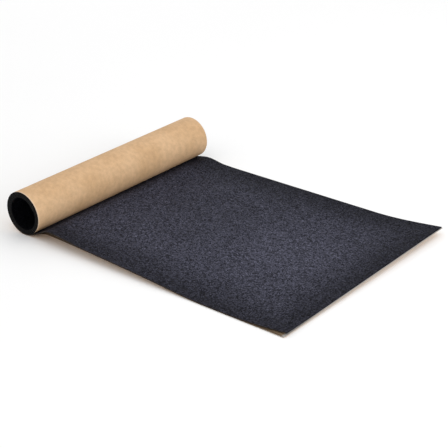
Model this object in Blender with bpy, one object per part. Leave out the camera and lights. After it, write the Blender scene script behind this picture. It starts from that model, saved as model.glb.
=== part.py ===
"""Grip tape sheet, partly unrolled: four bonded layers, part lying open and the rest wound as a roll.

The roll's axis runs along Y. The open part runs towards +X with its abrasive face up. It passes
under the roll, climbs its -X side, goes over the top and winds inwards, so the release liner is
on the outside of the roll. The three upper layers, called the tape here, stand off the liner a
little beside the roll and at one free corner, and end short of it at the free end. Lengths below
are in millimetres.
"""

import math

import bpy
import numpy as np

# Sheet
SHEET_WIDTH = 228.6
SHEET_LENGTH = 838.0
GRIT_THICK = 0.50
FILM_THICK = 0.18
ADHESIVE_THICK = 0.10
LINER_THICK = 0.16
LAYER_GAP = 0.02

# Roll
ROLL_RADIUS = 21.1
WRAP_PITCH = 1.15
PANEL_DEG = 30
PANEL_COUNT = 11
FACET_DEG = 6
SEAM_GAP = 0.10

# Open part: distance from the roll's axis, height of the underside and slope, at each long edge
OPEN_LENGTH = 296.3
END_HINGE = 224.0
PEEL_HINGE = 244.0
NEAR_EDGE = (
    (0.0, 0.0, 0.0),
    (32.0, 8.9, 0.0),
    (90.0, 6.9, -0.045),
    (150.0, 3.7, -0.06),
    (213.0, 0.0, 0.0),
    (224.0, 0.0, 0.0),
    (296.3, 0.6, 0.015),
)
FAR_EDGE = (
    (0.0, 0.0, 0.0),
    (22.0, 3.0, 0.0),
    (44.0, 0.3, -0.02),
    (60.0, 0.0, 0.0),
    (224.0, 0.0, 0.0),
    (296.3, 5.9, 0.12),
)
ROWS_ACROSS = 8
SLOPE_STEP = 0.01

# Tape off the liner: its buckle along the near edge, and its near corner
BUCKLE = ((0.0, 0.0, 0.0), (14.0, 0.0, 0.0), (32.0, 2.4, 0.0), (80.0, 0.0, 0.0), (296.3, 0.0, 0.0))
CORNER = ((0.0, 0.0, 0.0), (236.0, 0.0, 0.0), (296.3, 1.0, 0.03))
CORNER_LIFT = 1.8
CORNER_SKEW = 3.0
CORNER_PUSH = 1.2
LIFT_REACH = 70.0
TAPE_SET_BACK = 1.2

MM = 0.001
TURN_DEG = 360

GRIT_COLOUR = (0.022, 0.0225, 0.034, 1.0)
FILM_COLOUR = (0.012, 0.012, 0.014, 1.0)
ADHESIVE_COLOUR = (0.016, 0.016, 0.018, 1.0)
LINER_COLOUR = (0.54, 0.35, 0.19, 1.0)


def layer_depths():
    """The depth range of each layer above the liner's outer face."""
    depths = {}
    low = 0.0
    for name, thick in (
        ("liner", LINER_THICK),
        ("adhesive", ADHESIVE_THICK),
        ("film", FILM_THICK),
        ("grit", GRIT_THICK),
    ):
        depths[name] = (low, low + thick)
        low += thick + LAYER_GAP
    return depths


def rolled_turns():
    """Turns of spiral whose length along the outer face equals what is not open."""
    rolled = SHEET_LENGTH - OPEN_LENGTH
    # 2 pi (R n - pitch n^2 / 2) = rolled, solved for n
    half = WRAP_PITCH / 2
    root = math.sqrt(ROLL_RADIUS**2 - 4 * half * rolled / (2 * math.pi))
    return (ROLL_RADIUS - root) / (2 * half)


def edge_height(knots, x):
    """Cubic curve through the knots, each given as distance, height and slope."""
    for (x0, z0, s0), (x1, z1, s1) in zip(knots, knots[1:]):
        if x <= x1:
            break
    span = x1 - x0
    t = (x - x0) / span
    rise = (3 - 2 * t) * t * t
    return (
        z0 * (1 - rise)
        + z1 * rise
        + span * s0 * t * (1 - t) ** 2
        - span * s1 * t * t * (1 - t)
    )


def open_point(x, y, depth):
    """A point of the open part, depth above its underside and measured square to it."""
    share = y / SHEET_WIDTH + 0.5

    def height(at):
        return edge_height(NEAR_EDGE, at) * (1 - share) + edge_height(FAR_EDGE, at) * share

    low = max(x - SLOPE_STEP, 0.0)
    high = min(x + SLOPE_STEP, OPEN_LENGTH)
    slope_x = (height(high) - height(low)) / (high - low)
    slope_y = (edge_height(FAR_EDGE, x) - edge_height(NEAR_EDGE, x)) / SHEET_WIDTH
    size = math.sqrt(1 + slope_x**2 + slope_y**2)
    return (
        x - depth * slope_x / size,
        y - depth * slope_y / size,
        height(x) + depth / size,
    )


def tape_point(x, y, depth):
    """A point of the open tape: as open_point, with what stands off the liner added."""
    corner = edge_height(CORNER, x)
    near = max(1 - (y + SHEET_WIDTH / 2) / LIFT_REACH, 0.0) ** 2
    inwards = CORNER_SKEW * corner * (0.5 - y / SHEET_WIDTH)
    lift = near * (edge_height(BUCKLE, x) + CORNER_LIFT * corner)
    place = open_point(x, y + inwards, depth)
    return (place[0] + CORNER_PUSH * corner * near, place[1], place[2] + lift)


def roll_point(angle, y, depth):
    """A point of the roll, depth inwards from the outer face; the angle starts under the axis."""
    radius = ROLL_RADIUS - WRAP_PITCH * angle / TURN_DEG - depth
    turn = math.radians(angle)
    return (-radius * math.sin(turn), y, ROLL_RADIUS - radius * math.cos(turn))


def add_layer(name, material, place, stations, rows, depths):
    """One closed solid: the sheet from station to station between two depths."""
    vertices = []
    for depth in depths:
        for station in stations:
            for y in rows:
                vertices.append(place(station, y, depth))
    across = len(rows)
    along = len(stations)
    top = along * across
    faces = []
    for i in range(along - 1):
        for j in range(across - 1):
            a = i * across + j
            b = a + across
            faces.append((a, a + 1, b + 1, b))
            faces.append((top + a, top + b, top + b + 1, top + a + 1))
    for i in range(along - 1):
        for j, flip in ((0, False), (across - 1, True)):
            a = i * across + j
            side = (a, a + across, top + a + across, top + a)
            faces.append(side[::-1] if flip else side)
    for j in range(across - 1):
        for i, flip in ((0, True), (along - 1, False)):
            a = i * across + j
            end = (a, a + 1, top + a + 1, top + a)
            faces.append(end[::-1] if flip else end)
    points = np.array(vertices)
    quads = points[np.array(faces)] - points.mean(axis=0)
    volume = np.linalg.det(quads[:, [0, 1, 2]]).sum() + np.linalg.det(quads[:, [0, 2, 3]]).sum()
    if volume < 0:
        faces = [face[::-1] for face in faces]
    points = (points - centre_offset()) * MM
    mesh = bpy.data.meshes.new(name)
    mesh.from_pydata(points.tolist(), [], faces)
    mesh.update()
    mesh.polygons.foreach_set("use_smooth", [True] * len(mesh.polygons))
    mesh.materials.append(material)
    obj = bpy.data.objects.new(name, mesh)
    bpy.context.scene.collection.objects.link(obj)
    return obj


def centre_offset():
    """Half way along the object's overall length, so that the origin is under its middle."""
    left = min(roll_point(angle, 0.0, 0.0)[0] for angle in range(0, TURN_DEG, FACET_DEG))
    return np.array([(left + OPEN_LENGTH) / 2, 0.0, 0.0])


def make_material(name, colour, roughness):
    material = bpy.data.materials.new(name)
    material.use_nodes = True
    shader = material.node_tree.nodes["Principled BSDF"]
    shader.inputs["Base Color"].default_value = colour
    shader.inputs["Roughness"].default_value = roughness
    material.diffuse_color = colour
    return material


def spread(start, stop, spacing):
    """Stations from start to stop, no further apart than the spacing."""
    count = max(int(math.ceil((stop - start) / spacing)), 1)
    return [start + (stop - start) * i / count for i in range(count + 1)]


def roll_stations(start, stop):
    """Angles from start to stop with a facet edge at each multiple of the facet angle."""
    inner = [a for a in range(0, int(stop) + 1, FACET_DEG) if start + 1 < a < stop - 1]
    return [start] + inner + [stop]


def main():
    for old in list(bpy.data.objects):
        bpy.data.objects.remove(old, do_unlink=True)

    materials = {
        "grit": make_material("grit", GRIT_COLOUR, 0.85),
        "film": make_material("film", FILM_COLOUR, 0.45),
        "adhesive": make_material("adhesive", ADHESIVE_COLOUR, 0.30),
        "liner": make_material("liner", LINER_COLOUR, 0.75),
    }
    half = SHEET_WIDTH / 2
    edges = [-half, half]
    rows = spread(-half, half, SHEET_WIDTH / ROWS_ACROSS)
    seam = SEAM_GAP / 2
    seam_deg = math.degrees(seam / ROLL_RADIUS)

    crest, foot = NEAR_EDGE[1][0], NEAR_EDGE[4][0]
    climb = spread(seam, crest, 2.0)
    ramp = spread(crest, foot, 9.0)
    sheet = climb + ramp[1:] + [END_HINGE - seam]
    band = spread(END_HINGE + seam, PEEL_HINGE - seam, 4.0)
    tip = spread(PEEL_HINGE + seam, OPEN_LENGTH, 4.0)
    tape_tip = tip[:-1] + [OPEN_LENGTH - TAPE_SET_BACK]
    last = rolled_turns() * TURN_DEG

    for layer, depths in layer_depths().items():
        material = materials[layer]
        if layer == "liner":
            add_layer("liner_sheet", material, open_point, sheet, rows, depths)
            add_layer("liner_end", material, open_point, band + tip, rows, depths)
        else:
            add_layer(layer + "_sheet", material, tape_point, sheet, rows, depths)
            add_layer(layer + "_band", material, tape_point, band, rows, depths)
            add_layer(layer + "_tip", material, tape_point, tape_tip, rows, depths)
        for number in range(PANEL_COUNT):
            start = number * PANEL_DEG + seam_deg
            stop = (number + 1) * PANEL_DEG - seam_deg
            name = f"{layer}_wrap_{number + 1:02d}"
            stations = roll_stations(start, stop)
            add_layer(name, material, roll_point, stations, edges, depths)
        start = PANEL_COUNT * PANEL_DEG + seam_deg
        add_layer(layer + "_coil", material, roll_point, roll_stations(start, last), edges, depths)


main()
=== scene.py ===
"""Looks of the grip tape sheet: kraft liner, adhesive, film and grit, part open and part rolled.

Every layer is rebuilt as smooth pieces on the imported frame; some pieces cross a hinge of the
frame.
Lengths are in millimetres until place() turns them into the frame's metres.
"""

import math

import bpy
import numpy as np
from mathutils import Matrix, Vector


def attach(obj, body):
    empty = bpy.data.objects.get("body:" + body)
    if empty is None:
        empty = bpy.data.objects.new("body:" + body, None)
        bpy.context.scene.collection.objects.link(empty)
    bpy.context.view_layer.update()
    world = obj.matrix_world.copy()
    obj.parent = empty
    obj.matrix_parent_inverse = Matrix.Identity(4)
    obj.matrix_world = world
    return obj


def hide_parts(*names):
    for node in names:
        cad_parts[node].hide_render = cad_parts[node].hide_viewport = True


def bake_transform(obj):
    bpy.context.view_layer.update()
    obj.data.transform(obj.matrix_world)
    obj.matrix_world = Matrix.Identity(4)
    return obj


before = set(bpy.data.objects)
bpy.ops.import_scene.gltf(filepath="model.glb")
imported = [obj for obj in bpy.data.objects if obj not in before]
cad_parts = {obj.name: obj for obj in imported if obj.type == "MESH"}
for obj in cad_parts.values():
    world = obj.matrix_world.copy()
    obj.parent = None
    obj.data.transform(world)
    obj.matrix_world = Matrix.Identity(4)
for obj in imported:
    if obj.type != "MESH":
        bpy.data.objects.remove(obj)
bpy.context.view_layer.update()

# The sheet, as the frame has it
SHEET_WIDTH = 228.6
SHEET_LENGTH = 838.0
OPEN_LENGTH = 296.3
END_HINGE = 224.0
PEEL_HINGE = 244.0
ROLL_RADIUS = 21.1
WRAP_PITCH = 1.15
PANEL_DEG = 30.0
PANEL_COUNT = 11
TURN_DEG = 360
DEPTHS = {
    "liner": (0.0, 0.16),
    "adhesive": (0.18, 0.28),
    "film": (0.30, 0.48),
    "grit": (0.50, 1.00),
}
# Distance from under the roll's axis, height of the underside and slope, at each long edge
NEAR_EDGE = (
    (0.0, 0.0, 0.0),
    (32.0, 8.9, 0.0),
    (90.0, 6.9, -0.045),
    (150.0, 3.7, -0.06),
    (213.0, 0.0, 0.0),
    (224.0, 0.0, 0.0),
    (296.3, 0.6, 0.015),
)
FAR_EDGE = (
    (0.0, 0.0, 0.0),
    (22.0, 3.0, 0.0),
    (44.0, 0.3, -0.02),
    (60.0, 0.0, 0.0),
    (224.0, 0.0, 0.0),
    (296.3, 5.9, 0.12),
)
# How the tape stands off the liner: its buckle along the near edge, and its near corner
BUCKLE = ((0.0, 0.0, 0.0), (14.0, 0.0, 0.0), (32.0, 2.4, 0.0), (80.0, 0.0, 0.0), (296.3, 0.0, 0.0))
CORNER = ((0.0, 0.0, 0.0), (236.0, 0.0, 0.0), (296.3, 1.0, 0.03))
CORNER_LIFT = 1.8
CORNER_SKEW = 3.0
CORNER_PUSH = 1.2
LIFT_REACH = 70.0
TAPE_SET_BACK = 1.2
MM = 0.001
HALF = SHEET_WIDTH / 2
SLOPE_STEP = 0.05
KNOT_TOLERANCE = 1e-9


def knots_at(knots, x):
    """Cubic curve through knots of distance, height and slope, at an array of distances."""
    x = np.asarray(x, float)
    out = np.zeros_like(x)
    for (x0, z0, s0), (x1, z1, s1) in zip(knots, knots[1:]):
        inside = (x >= x0) & (x <= x1 + KNOT_TOLERANCE)
        t = np.clip((x - x0) / (x1 - x0), 0, 1)
        rise = (3 - 2 * t) * t * t
        value = z0 * (1 - rise) + z1 * rise
        value += (x1 - x0) * (s0 * t * (1 - t) ** 2 - s1 * t * t * (1 - t))
        out = np.where(inside, value, out)
    return out


def smooth(t):
    """Smoothstep of a share, held between nought and one."""
    t = np.clip(t, 0, 1)
    return t * t * (3 - 2 * t)


def rolled_turns():
    """Turns of spiral whose length along the outer face equals what is not open."""
    rolled = SHEET_LENGTH - OPEN_LENGTH
    root = math.sqrt(ROLL_RADIUS**2 - 2 * WRAP_PITCH * rolled / (2 * math.pi))
    return (ROLL_RADIUS - root) / WRAP_PITCH


LAST_DEG = rolled_turns() * TURN_DEG
# the roll's leftmost facet edge, and from it the frame's origin half way along the object
FACET_DEG = 6
LEFT = -max(
    (ROLL_RADIUS - WRAP_PITCH * angle / TURN_DEG) * math.sin(math.radians(angle))
    for angle in range(0, TURN_DEG, FACET_DEG)
)
MIDDLE = (LEFT + OPEN_LENGTH) / 2


def open_height(x, y):
    """Height of the open part's underside."""
    share = y / SHEET_WIDTH + 0.5
    return knots_at(NEAR_EDGE, x) * (1 - share) + knots_at(FAR_EDGE, x) * share


def open_points(x, y, depth, tape):
    """Points of the open part; the tape stands off the liner beside the roll and at its corner."""
    lift = push = 0.0
    if tape:
        corner = knots_at(CORNER, x)
        near = np.clip(1 - (y + HALF) / LIFT_REACH, 0, 1) ** 2
        lift = near * (knots_at(BUCKLE, x) + CORNER_LIFT * corner)
        y = y + CORNER_SKEW * corner * (0.5 - y / SHEET_WIDTH)
        push = CORNER_PUSH * corner * near
    high, low = np.minimum(x + SLOPE_STEP, OPEN_LENGTH), np.maximum(x - SLOPE_STEP, 0)
    slope_x = (open_height(high, y) - open_height(low, y)) / (high - low)
    slope_y = (knots_at(FAR_EDGE, x) - knots_at(NEAR_EDGE, x)) / SHEET_WIDTH
    size = np.sqrt(1 + slope_x**2 + slope_y**2)
    return np.stack(
        [
            x - depth * slope_x / size + push,
            y - depth * slope_y / size,
            open_height(x, y) + depth / size + lift,
        ],
        axis=-1,
    )


def roll_points(angle, y, depth):
    """Points of the roll, by degrees round the spiral from under the axis."""
    radius = ROLL_RADIUS - WRAP_PITCH * angle / TURN_DEG - depth
    turn = np.radians(angle)
    return np.stack([-radius * np.sin(turn), y, ROLL_RADIUS - radius * np.cos(turn)], axis=-1)


# the spiral's length grows by PER_DEG for each degree, less SHRINK times the degrees squared
PER_DEG = ROLL_RADIUS * math.radians(1)
SHRINK = WRAP_PITCH / (2 * TURN_DEG) * math.radians(1)


def sheet_points(s, y, depth, tape):
    """Points by distance s along the sheet: s > 0 is the open part, s < 0 the roll."""
    s, y, depth = np.broadcast_arrays(s, y, depth)
    angle = spiral_angle(np.maximum(-s, 0))
    on_roll = roll_points(angle, y, depth)
    on_floor = open_points(np.maximum(s, 0), y, depth, tape)
    return np.where((s < 0)[..., None], on_roll, on_floor)


def spiral_angle(length):
    """Degrees round the spiral whose outer face has this length."""
    root = np.sqrt(PER_DEG * PER_DEG - 4 * SHRINK * length)
    return (PER_DEG - root) / (2 * SHRINK)


def spiral_length(angle):
    """Length of the spiral's outer face from under the axis to this many degrees round."""
    return PER_DEG * angle - SHRINK * angle**2


# distances along the sheet: where the innermost turn starts, over how much it darkens, and where
# the outermost turn ends and the next one begins to be covered by it
BORE_START = -spiral_length(LAST_DEG - TURN_DEG)
BORE_FADE = 20.0
COVERED_DEG = 350
COVERED = -spiral_length(COVERED_DEG)


def place(points):
    """Points in the frame, from millimetres with their origin under the roll's axis."""
    return (points - [MIDDLE, 0, 0]) * MM


# ---------------------------------------------------------------- materials


# Colours, linear
# painted shade: the cut faces inside the roll are near black
CUT_ROLLED_PAINTED_SHADE = (0.0010, 0.0009, 0.0008, 1)
CUT_OPEN = (0.034, 0.025, 0.019, 1)
CUT_LINER = (0.090, 0.058, 0.038, 1)
GRIT_DARK = (0.0212, 0.0215, 0.0304, 1)
GRIT_PALE = (0.0322, 0.0326, 0.0458, 1)
GRIT_SPECULAR_TINT = (0.80, 0.82, 1.0, 1)
KRAFT_DARK = (0.546, 0.346, 0.184, 1)
KRAFT_PALE = (0.624, 0.413, 0.238, 1)
FIBRE_PALE = (0.690, 0.478, 0.305, 1)
FIBRE_DARK = (0.385, 0.222, 0.102, 1)
FLECK = (0.300, 0.170, 0.080, 1)
# painted highlight along the kraft's near cut edge
RIM_PAINTED_HIGHLIGHT = (0.700, 0.560, 0.430, 1)
# painted shade on the release side's margins
RELEASE_MARGIN_PAINTED_SHADE = (0.150, 0.105, 0.066, 1)
RELEASE = (0.400, 0.285, 0.180, 1)
RELEASE_TAIL = (0.420, 0.400, 0.380, 1)
FILM_DARK = (0.008, 0.008, 0.009, 1)
FILM_PALE = (0.016, 0.016, 0.018, 1)
ADHESIVE_DARK = (0.010, 0.010, 0.011, 1)
ADHESIVE_PALE = (0.022, 0.022, 0.024, 1)
FLOOR_DARK = (0.92, 0.92, 0.92, 1)
FLOOR_PALE = (0.94, 0.94, 0.94, 1)

# Distance along the sheet before which it counts as rolled, blending up to nought
ROLLED = -30.0
# The grit's border of painted shade, and its patch of painted sheen: centre, full reach and outer
# reach
PAINTED_SHADE_BORDER = 50.0
PAINTED_SHEEN_ALONG = (215.0, 5.0, 95.0)
PAINTED_SHEEN_ACROSS = (6.0, 5.0, 90.0)
PAINTED_SHEEN_GAIN = 0.38


class Nodes:
    """A material's node tree, built one node at a time."""

    def __init__(self, name):
        self.material = bpy.data.materials.new(name)
        self.material.use_nodes = True
        self.tree = self.material.node_tree
        self.shader = self.tree.nodes["Principled BSDF"]

    def add(self, kind, settings=None, **inputs):
        node = self.tree.nodes.new("ShaderNode" + kind)
        for key, value in (settings or {}).items():
            setattr(node, key, value)
        for key, value in inputs.items():
            self.link(value, node.inputs[key.replace("_", " ")])
        return node

    def link(self, value, socket):
        if isinstance(value, bpy.types.NodeSocket):
            self.tree.links.new(value, socket)
        else:
            socket.default_value = value

    def sheet(self):
        """Sheet coordinates in millimetres, together and as along, across and depth."""
        at = self.add("Attribute", {"attribute_name": "sheet"}).outputs["Vector"]
        along, across, depth = self.add("SeparateXYZ", Vector=at).outputs
        return at, along, across, depth

    def noise(self, where, scale, detail=2.0, rough=0.5):
        node = self.add("TexNoise", Vector=where, Scale=scale, Detail=detail, Roughness=rough)
        return node.outputs["Fac"]

    def grains(self, where, scale):
        """A cell pattern: two random shares of each cell, and the distance to its centre."""
        node = self.add("TexVoronoi", {"feature": "F1"}, Vector=where, Scale=scale, Randomness=1.0)
        shares = self.add("SeparateColor", Color=node.outputs["Color"]).outputs
        return shares[0], shares[1], node.outputs["Distance"]

    def stretched(self, where, factors):
        node = self.add("VectorMath", {"operation": "MULTIPLY"})
        self.link(where, node.inputs[0])
        node.inputs[1].default_value = factors
        return node.outputs[0]

    def math(self, operation, a, b=0.0):
        node = self.add("Math", {"operation": operation})
        self.link(a, node.inputs[0])
        self.link(b, node.inputs[1])
        return node.outputs[0]

    def product(self, first, *factors):
        for factor in factors:
            first = self.math("MULTIPLY", first, factor)
        return first

    def span(self, value, low, high, to_low=0.0, to_high=1.0):
        """The value's smooth climb from low to high, as one from to_low to to_high."""
        node = self.add("MapRange", {"interpolation_type": "SMOOTHSTEP"}, Value=value)
        for key, item in (
            ("From Min", low),
            ("From Max", high),
            ("To Min", to_low),
            ("To Max", to_high),
        ):
            self.link(item, node.inputs[key])
        return node.outputs[0]

    def mix(self, share, a, b, blend="MIX"):
        node = self.add("Mix", {"data_type": "RGBA", "blend_type": blend})
        self.link(share, node.inputs[0])
        self.link(a, node.inputs[6])
        self.link(b, node.inputs[7])
        return node.outputs[2]

    def over(self, base, colour, mask, strength):
        """The colour laid over the base where the mask is, at this strength."""
        return self.mix(self.product(mask, strength), base, colour)

    def scaled(self, colour, factor):
        grey = self.add("CombineXYZ", X=factor, Y=factor, Z=factor)
        return self.mix(1.0, colour, grey.outputs[0], "MULTIPLY")

    def to_side(self, across):
        """Distance in from the nearer long cut edge."""
        return self.math("SUBTRACT", HALF, self.math("ABSOLUTE", across))

    def around(self, value, centre, full, none):
        """One within a distance of the centre, falling to zero at a further one."""
        away = self.math("ABSOLUTE", self.math("SUBTRACT", value, centre))
        return self.span(away, full, none, 1.0, 0.0)

    def with_cut_faces(self, colour, along, across):
        """The long cut faces: near black with painted shade where rolled, dark brown along the
        open part.
        """
        face = self.span(self.to_side(across), 0.01, 0.10, 1.0, 0.0)
        tone = self.mix(self.span(along, ROLLED, 0.0), CUT_ROLLED_PAINTED_SHADE, CUT_OPEN)
        return self.mix(face, colour, tone)

    def bump(self, height, strength, distance, normal=None):
        node = self.add("Bump", Height=height, Strength=strength, Distance=distance)
        if normal is not None:
            self.link(normal, node.inputs["Normal"])
        return node.outputs["Normal"]

    def finish(self, colour, roughness, normal=None, **constants):
        self.link(colour, self.shader.inputs["Base Color"])
        self.link(roughness, self.shader.inputs["Roughness"])
        if normal is not None:
            self.link(normal, self.shader.inputs["Normal"])
        for key, value in constants.items():
            self.shader.inputs[key.replace("_", " ")].default_value = value
        return self.material


def grit_material():
    n = Nodes("grit")
    at, along, across, _ = n.sheet()
    clump_tone, clump_rough, clump_distance = n.grains(at, scale=0.80)
    grain_tone, grain_spark, grain_distance = n.grains(at, scale=1.9)
    base = n.mix(n.noise(at, 0.03, 3.0, 0.55), GRIT_DARK, GRIT_PALE)

    to_end = n.math("SUBTRACT", OPEN_LENGTH, along)
    to_edge = n.math("MINIMUM", n.to_side(across), to_end)
    painted_sheen = n.product(n.around(along, *PAINTED_SHEEN_ALONG), n.around(across, *PAINTED_SHEEN_ACROSS))
    painted_shading = n.product(
        # painted shade: darker towards the cut edges and the free end, and a little towards the
        # roll
        n.span(to_edge, 0.0, PAINTED_SHADE_BORDER, 0.42, 1.0),
        n.span(along, 5.0, 150.0, 1.12, 1.17),
        # painted light: paler towards the near side, and a painted sheen in a soft patch of the
        # open part
        n.span(across, -HALF, HALF, 1.12, 0.88),
        n.math("ADD", n.product(painted_sheen, PAINTED_SHEEN_GAIN), 1.0),
        # the innermost turn, where no light reaches, is almost black
        n.span(along, BORE_START, BORE_START + BORE_FADE, 0.17, 1.0),
    )
    speck = n.product(
        n.span(clump_tone, 0.0, 1.0, 0.36, 1.72), n.span(grain_tone, 0.0, 1.0, 0.48, 1.64)
    )
    # painted glints: a few grains made much brighter in the colour
    painted_glints = n.span(grain_spark, 0.94, 1.0, 0.0, 3.2)
    shade = n.product(n.math("ADD", speck, painted_glints), painted_shading)
    colour = n.with_cut_faces(n.scaled(base, shade), along, across)
    rough = n.span(clump_rough, 0.0, 1.0, 0.55, 0.85)
    height = n.math("ADD", n.product(clump_distance, -0.5), n.product(grain_distance, -0.5))
    normal = n.bump(height, strength=0.9, distance=0.00035)
    return n.finish(
        colour, rough, normal, Specular_IOR_Level=0.05, Specular_Tint=GRIT_SPECULAR_TINT
    )


def liner_material():
    n = Nodes("liner")
    at, along, across, depth = n.sheet()
    to_side = n.to_side(across)
    fibres = n.noise(n.stretched(at, (0.22, 1.5, 1.0)), 1.1, 4.0, 0.6)
    cross = n.noise(n.stretched(at, (1.6, 0.3, 1.0)), 0.9, 3.0, 0.6)
    cloud = n.noise(at, 0.028, 3.0)
    flecks = n.noise(at, 1.3, 2.0, 0.6)
    base = n.mix(n.span(cloud, 0.30, 0.70), KRAFT_DARK, KRAFT_PALE)
    base = n.over(base, FIBRE_PALE, n.span(fibres, 0.35, 0.75), 0.30)
    base = n.over(base, FIBRE_DARK, n.span(cross, 0.50, 0.78), 0.32)
    base = n.over(base, FLECK, n.span(flecks, 0.64, 0.80), 0.32)
    base = n.scaled(base, n.span(n.noise(at, 0.22), 0.30, 0.70, 0.94, 1.06))
    # painted highlight: a paler line along the near cut edge, where the rim catches light
    edge = n.span(n.math("ADD", across, HALF), 0.2, 1.6, 1.0, 0.0)
    base = n.over(base, RIM_PAINTED_HIGHLIGHT, edge, 0.75)

    # the release side is greyer at the free end, and its margins are darkened with painted shade,
    # the shade under the tape's edges and inside the roll, more narrowly along the open part
    reach = n.span(along, ROLLED, 60.0, 1.0, 0.4)
    margin = n.span(n.math("DIVIDE", to_side, reach), 3.0, 7.0)
    release = n.mix(margin, RELEASE_MARGIN_PAINTED_SHADE, RELEASE)
    tail = n.span(along, OPEN_LENGTH - 4.0, OPEN_LENGTH - 1.6)
    release = n.mix(tail, release, RELEASE_TAIL)
    colour = n.mix(n.span(depth, 0.04, 0.10), base, release)

    # the cut faces are dark too, and inside the roll they are near black with painted shade, more
    # widely
    wide = n.span(along, COVERED - 2.0, COVERED, 0.8, 0.03)
    cut = n.span(n.math("DIVIDE", to_side, wide), 0.1, 1.0, 1.0, 0.0)
    cut_tone = n.mix(n.span(along, ROLLED, 0.0), CUT_ROLLED_PAINTED_SHADE, CUT_LINER)
    colour = n.mix(cut, colour, cut_tone)
    rough = n.span(fibres, 0.2, 0.8, 0.60, 0.76)
    height = n.math("ADD", n.product(fibres, 0.6), n.product(cross, 0.4))
    normal = n.bump(height, strength=0.35, distance=0.0002)
    normal = n.bump(cloud, strength=0.35, distance=0.0022, normal=normal)
    return n.finish(colour, rough, normal, Specular_IOR_Level=0.12)


def film_material():
    n = Nodes("film")
    at, along, across, _ = n.sheet()
    streaks = n.noise(n.stretched(at, (0.15, 2.0, 1.0)), 1.2, 3.0, 0.6)
    colour = n.with_cut_faces(n.mix(streaks, FILM_DARK, FILM_PALE), along, across)
    rough = n.span(streaks, 0.2, 0.8, 0.40, 0.56)
    normal = n.bump(streaks, strength=0.2, distance=0.0001)
    return n.finish(colour, rough, normal, Specular_IOR_Level=0.08)


def adhesive_material():
    n = Nodes("adhesive")
    at, along, across, _ = n.sheet()
    ribs = n.noise(n.stretched(at, (0.3, 1.8, 1.0)), 0.9, 3.0, 0.55)
    colour = n.with_cut_faces(n.mix(ribs, ADHESIVE_DARK, ADHESIVE_PALE), along, across)
    rough = n.span(ribs, 0.2, 0.8, 0.24, 0.40)
    normal = n.bump(ribs, strength=0.3, distance=0.0002)
    return n.finish(colour, rough, normal, Specular_IOR_Level=0.25)


MATERIALS = {
    "grit": grit_material(),
    "film": film_material(),
    "adhesive": adhesive_material(),
    "liner": liner_material(),
}


# ---------------------------------------------------------------- pieces


FINE_ROWS = 72
COARSE_ROWS = 36
ROW_EASING = 0.15
INNER_ROW_STEP = 6
FINE_PITCH = 1.0
COARSE_PITCH = 1.6
INNER_PITCH = 1.0


def rows_across(count):
    """Positions across the sheet, closer together near the two cut edges."""
    t = np.linspace(-1, 1, count + 1)
    eased = t * (1 + ROW_EASING * (1 - t * t))
    return HALF * eased


def slab_faces(along, across):
    """Quads of a closed slab of two levels of points: the two surfaces, then the four sides."""
    low = np.arange(along * across).reshape(along, across)
    top = low + along * across
    corners = (
        (low[:-1, :-1], low[:-1, 1:], low[1:, 1:], low[1:, :-1]),
        (top[:-1, :-1], top[1:, :-1], top[1:, 1:], top[:-1, 1:]),
        (low[:-1, 0], low[1:, 0], top[1:, 0], top[:-1, 0]),
        (low[:-1, -1], top[:-1, -1], top[1:, -1], low[1:, -1]),
        (low[0, :-1], top[0, :-1], top[0, 1:], low[0, 1:]),
        (low[-1, :-1], low[-1, 1:], top[-1, 1:], top[-1, :-1]),
    )
    return np.concatenate([np.stack([c.ravel() for c in quad], -1) for quad in corners])


def keep_rim_sharp(mesh, rim):
    """Mark the edges of the side faces sharp, so that the cut edges stay crisp."""
    ends = np.empty(2 * len(mesh.edges), np.int64)
    mesh.edges.foreach_get("vertices", ends)
    ends = np.sort(ends.reshape(-1, 2), axis=1)
    sides = np.concatenate([rim[:, [i, (i + 1) % 4]] for i in range(4)])
    sides = np.sort(sides, axis=1)
    total = len(mesh.vertices)
    sharp = np.isin(ends[:, 0] * total + ends[:, 1], sides[:, 0] * total + sides[:, 1])
    mesh.attributes.new("sharp_edge", "BOOLEAN", "EDGE").data.foreach_set("value", sharp)


def build_layer(name, layer, stations, rows):
    """One closed piece of a layer over these distances along the sheet."""
    tape = layer != "liner"
    s, y = np.meshgrid(np.asarray(stations, float), rows, indexing="ij")
    moved = s
    if tape:
        end = smooth((s - PEEL_HINGE) / (OPEN_LENGTH - PEEL_HINGE))
        moved = s - TAPE_SET_BACK * end
    points, coords = [], []
    for depth in DEPTHS[layer]:
        level = np.full_like(s, depth)
        points.append(sheet_points(moved, y, level, tape).reshape(-1, 3))
        coords.append(np.stack([s, y, level], -1).reshape(-1, 3))
    faces = slab_faces(*s.shape)
    surface = 2 * (s.shape[0] - 1) * (s.shape[1] - 1)

    mesh = bpy.data.meshes.new(name)
    mesh.from_pydata(place(np.concatenate(points)).tolist(), [], faces.tolist())
    stored = mesh.attributes.new("sheet", "FLOAT_VECTOR", "POINT")
    stored.data.foreach_set("vector", np.concatenate(coords).astype(np.float32).ravel())
    mesh.polygons.foreach_set("use_smooth", [True] * len(faces))
    mesh.update()
    keep_rim_sharp(mesh, faces[surface:])
    mesh.materials.append(MATERIALS[layer])
    obj = bpy.data.objects.new(name, mesh)
    bpy.context.scene.collection.objects.link(obj)
    return obj


def steps(start, stop, spacing):
    """Stations from start to stop, no further apart than the spacing."""
    count = max(int(math.ceil(abs(stop - start) / spacing)), 1)
    return np.linspace(start, stop, count + 1)


def runs(start, *parts):
    """Stations from start on, over parts that each give where they stop and their spacing."""
    stations = np.array([start])
    for stop, spacing in parts:
        if stop > stations[-1]:
            stations = np.concatenate([stations, steps(stations[-1], stop, spacing)[1:]])
    return stations


# the stations are close together from a little before a hinge to a little past the bend
CLOSE_BEFORE = 2
CLOSE_AFTER = 12
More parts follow.
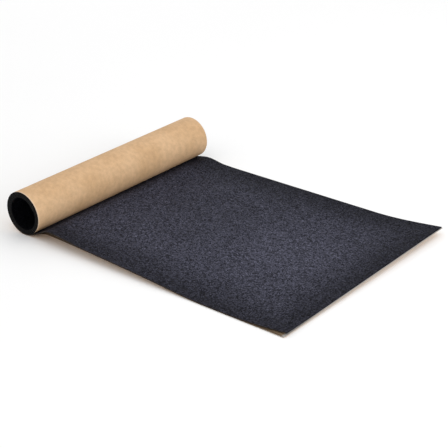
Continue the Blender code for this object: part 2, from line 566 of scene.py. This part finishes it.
# distances along the sheet: the open piece's start, the end of its steep stretch beside the roll,
# and where the tape's end flap takes over
OPEN_START = 7.0
STEEP_END = 90
TIP_START = (END_HINGE + PEEL_HINGE) / 2


def outer_point(s):
    """The point of the sheet's outer face at a distance along it, in the frame."""
    point = sheet_points(np.array(s), np.array(0.0), np.array(0.0), False)
    return Vector(place(point))


# the outer turn has one piece per hinge, from the middle of one panel to the middle of the next
middles = [OPEN_START] + [-spiral_length(PANEL_DEG * (i + 0.5)) for i in range(PANEL_COUNT + 1)]

for layer in DEPTHS:
    tape = layer != "liner"
    fine = layer in ("liner", "grit")
    rows = rows_across(FINE_ROWS if fine else COARSE_ROWS)
    pitch = FINE_PITCH if fine else COARSE_PITCH

    # open part, with stations close together about the hinge where the free end lifts
    stop = TIP_START if tape else OPEN_LENGTH
    stations = runs(
        OPEN_START,
        (STEEP_END, 2 * pitch),
        (END_HINGE - CLOSE_BEFORE, 3 * pitch),
        (min(END_HINGE + CLOSE_AFTER, stop), pitch),
        (stop, 3 * pitch),
    )
    piece = build_layer(layer + "_open", layer, stations, rows)
    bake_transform(piece)
    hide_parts(layer + "_sheet")
    if tape:
        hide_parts(layer + "_band")
        # the tape's end, with stations close together about the hinge where its tip peels
        stations = runs(
            TIP_START,
            (PEEL_HINGE - CLOSE_BEFORE, 2 * pitch),
            (PEEL_HINGE + CLOSE_AFTER, pitch),
            (OPEN_LENGTH, 2 * pitch),
        )
        piece = build_layer(layer + "_end_flap", layer, stations, rows)
        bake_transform(piece)
        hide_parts(layer + "_tip")
    else:
        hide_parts("liner_end")

    # outer turn
    for number in range(PANEL_COUNT + 1):
        start_s, stop_s = middles[number], middles[number + 1]
        stations = steps(start_s, stop_s, 0.5 * pitch)[::-1]
        piece = build_layer(f"{layer}_turn_{number + 1:02d}", layer, stations, rows)
        outer_point(start_s)
        outer_point(stop_s)
        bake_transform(piece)
        if number < PANEL_COUNT:
            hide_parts(f"{layer}_wrap_{number + 1:02d}")

    # inner turns
    stations = steps(-spiral_length(LAST_DEG), middles[-1], INNER_PITCH)
    piece = build_layer(layer + "_inner_turns", layer, stations, rows[::INNER_ROW_STEP])
    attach(piece, "coil")
    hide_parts(layer + "_coil")


# ---------------------------------------------------------------- camera, floor and light

FOCAL_PIXELS = 1335.0
FRAME_PIXELS = 448
SENSOR_MM = 36.0
AZIMUTH = math.radians(40.902)
ELEVATION = math.radians(25.783)
TILT = math.radians(-1.531)
TARGET = Vector((-0.00909, 0.01183, 0.0))
DISTANCE = 1.21458
CLIP_START = 0.01
CLIP_END = 50

back = Vector(
    (
        math.sin(AZIMUTH) * math.cos(ELEVATION),
        -math.cos(AZIMUTH) * math.cos(ELEVATION),
        math.sin(ELEVATION),
    )
)
right = (-back).cross(Vector((0, 0, 1))).normalized()
up = right.cross(-back)
right_tilted = math.cos(TILT) * right + math.sin(TILT) * up
up_tilted = -math.sin(TILT) * right + math.cos(TILT) * up
camera = bpy.data.objects.new("camera", bpy.data.cameras.new("camera"))
bpy.context.scene.collection.objects.link(camera)
camera.data.sensor_width = SENSOR_MM
camera.data.lens = SENSOR_MM * FOCAL_PIXELS / FRAME_PIXELS
camera.data.clip_start = CLIP_START
camera.data.clip_end = CLIP_END
turn = Matrix((right_tilted, up_tilted, back)).transposed()
camera.matrix_world = Matrix.Translation(TARGET + back * DISTANCE) @ turn.to_4x4()
bpy.context.scene.camera = camera


def floor_material():
    n = Nodes("floor")
    where = n.add("TexCoord").outputs["Object"]
    colour = n.mix(n.noise(where, 3.0), FLOOR_DARK, FLOOR_PALE)
    return n.finish(colour, 0.9, Specular_IOR_Level=0.1)


FLOOR_REACH = 4.0
FLOOR_DROP = 0.0003
FLOOR_CORNERS = [
    (-FLOOR_REACH, -FLOOR_REACH, 0),
    (FLOOR_REACH, -FLOOR_REACH, 0),
    (FLOOR_REACH, FLOOR_REACH, 0),
    (-FLOOR_REACH, FLOOR_REACH, 0),
]
floor_mesh = bpy.data.meshes.new("floor")
floor_mesh.from_pydata(FLOOR_CORNERS, [], [(0, 1, 2, 3)])
floor_mesh.materials.append(floor_material())
floor = bpy.data.objects.new("floor", floor_mesh)
floor.location.z = -FLOOR_DROP
bpy.context.scene.collection.objects.link(floor)


def softbox(name, place_at, size, power):
    """An area light aimed at the frame's origin."""
    light = bpy.data.lights.new(name, "AREA")
    light.shape = "RECTANGLE"
    light.size, light.size_y = size
    light.energy = power
    obj = bpy.data.objects.new(name, light)
    obj.location = place_at
    obj.rotation_euler = (-Vector(place_at)).to_track_quat("-Z", "Y").to_euler()
    bpy.context.scene.collection.objects.link(obj)


softbox("key", place_at=(0.50, 0.35, 1.35), size=(1.1, 1.1), power=2.2)
softbox("side", place_at=(1.30, 0.20, 0.62), size=(0.8, 0.6), power=6.4)
softbox("back", place_at=(-1.10, 0.70, 0.75), size=(0.8, 0.5), power=1.2)

WORLD_STRENGTH = 0.89
world = bpy.data.worlds.new("studio")
world.use_nodes = True
background = world.node_tree.nodes["Background"]
background.inputs["Color"].default_value = (1, 1, 1, 1)
background.inputs["Strength"].default_value = WORLD_STRENGTH
bpy.context.scene.world = world
bpy.context.scene.view_settings.view_transform = "Standard"
